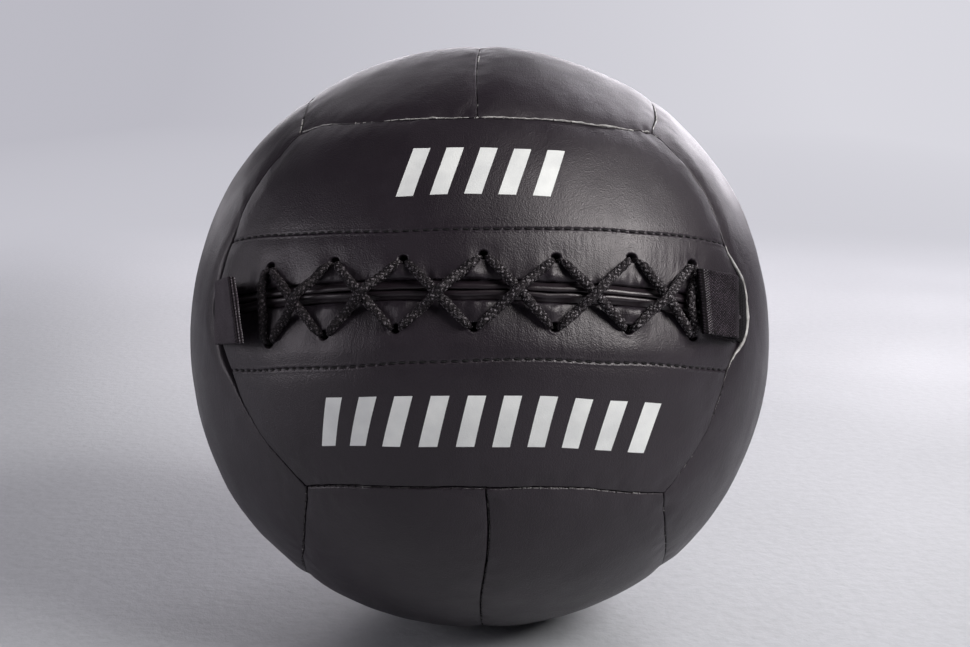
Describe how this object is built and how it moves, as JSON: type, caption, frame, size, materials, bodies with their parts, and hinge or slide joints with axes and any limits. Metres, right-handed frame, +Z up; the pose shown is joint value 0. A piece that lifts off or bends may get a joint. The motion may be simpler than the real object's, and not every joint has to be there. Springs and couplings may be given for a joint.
{
  "type": "wall ball",
  "caption": "Soft weighted training ball of sewn leather strips, with a laced filling slit and two webbing tabs, resting on its settled flat.",
  "frame": {"origin": "on the floor under the ball, at the middle of its footprint", "axes": "+Z up, +Y from the laced front to the back, +X to the right when looking at the laced front"},
  "size_m": [0.3516, 0.3552, 0.3511],
  "materials": {
    "black_leather": "soft grained semi-matt",
    "lip_leather": "rolled semi-gloss",
    "facing_leather": "matt flesh side",
    "black_braid": "braided cord",
    "black_webbing": "twill webbing",
    "tongue_canvas": "canvas",
    "grey_foam": "open foam",
    "fibre_fill": "packed fibre",
    "bag_cloth": "woven cloth",
    "iron_sand": "loose grains",
    "tie_cord": "twisted cord"
  },
  "bodies": {
    "ball": {"front_upper_panel": "black_leather", "front_lower_panel": "black_leather", "back_upper_panel": "black_leather", "back_lower_panel": "black_leather", "top_left_panel": "black_leather", "top_right_panel": "black_leather", "bottom_left_panel": "black_leather", "bottom_right_panel": "black_leather", "left_front_panel": "black_leather", "left_rear_panel": "black_leather", "right_front_panel": "black_leather", "right_rear_panel": "black_leather", "upper_lip_piping": "lip_leather", "lower_lip_piping": "lip_leather", "upper_facing": "facing_leather", "lower_facing": "facing_leather", "lace": "black_braid", "lace_knot": "black_braid", "tongue": "tongue_canvas", "padding_front": "grey_foam", "padding_rear": "grey_foam", "fill_front": "fibre_fill", "fill_rear": "fibre_fill", "weight_bag": "bag_cloth", "iron_sand": "iron_sand", "bag_tie": "tie_cord"},
    "left_tab": {"left_pull_tab": "black_webbing"},
    "right_tab": {"right_pull_tab": "black_webbing"}
  },
  "joints": [
    {"name": "left_tab_hinge", "type": "hinge", "parent": "ball", "child": "left_tab", "pos_m": [-0.13984, -0.10742, 0.20651], "axis": [0, -0.3173, -0.9483], "range_deg": [-4, 109], "stiffness_Nm_per_rad": 0.05},
    {"name": "right_tab_hinge", "type": "hinge", "parent": "ball", "child": "right_tab", "pos_m": [0.13984, -0.10542, 0.21248], "axis": [0, 0.3173, 0.9483], "range_deg": [0, 115], "stiffness_Nm_per_rad": 0.05}
  ]
}
